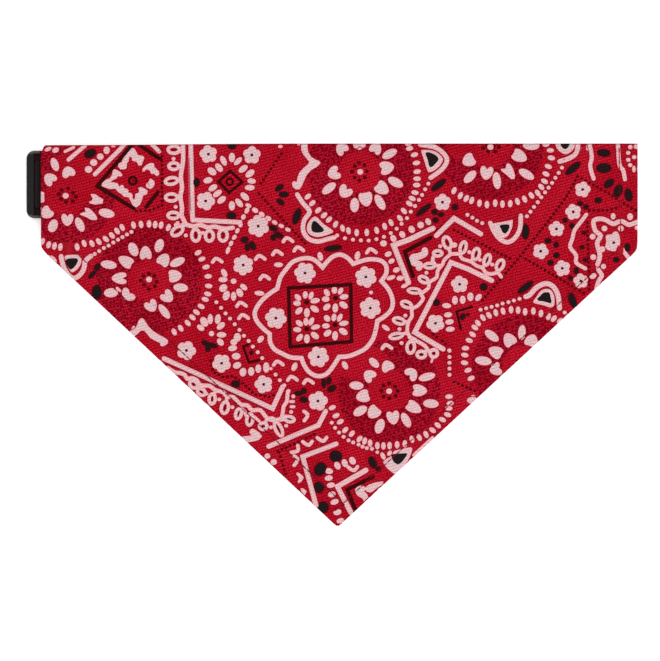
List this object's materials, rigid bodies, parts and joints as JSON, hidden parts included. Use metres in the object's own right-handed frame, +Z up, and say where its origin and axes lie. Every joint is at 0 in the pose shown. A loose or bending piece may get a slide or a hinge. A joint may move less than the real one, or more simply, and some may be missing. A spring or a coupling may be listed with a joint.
{
  "type": "bandana collar",
  "caption": "Pet collar of black webbing, buckled shut and laid flat, with a pointed red bandana whose folded top edge hides the strap; the end of the side-release buckle shows at the left.",
  "frame": {"origin": "centre of the bounding box, on the surface that the collar lies on", "axes": "+X along the collar, from the buckle's end to the other; +Y from the bandana's point to its fold; +Z up, off the surface"},
  "size_m": [0.26, 0.163, 0.0122],
  "materials": {
    "printed_cloth": "matt plain-woven cloth with a pigment print",
    "black_webbing": "matt ribbed webbing",
    "black_acetal": "as moulded, satin"
  },
  "bodies": {
    "root": {"bandana_cloth": "printed_cloth", "hem_left_end": "printed_cloth", "hem_right_end": "printed_cloth", "hem_left_diagonal": "printed_cloth", "hem_right_diagonal": "printed_cloth", "collar_strap": "black_webbing", "buckle_adjuster_half": "black_acetal", "buckle_socket_half": "black_acetal"}
  },
  "joints": []
}
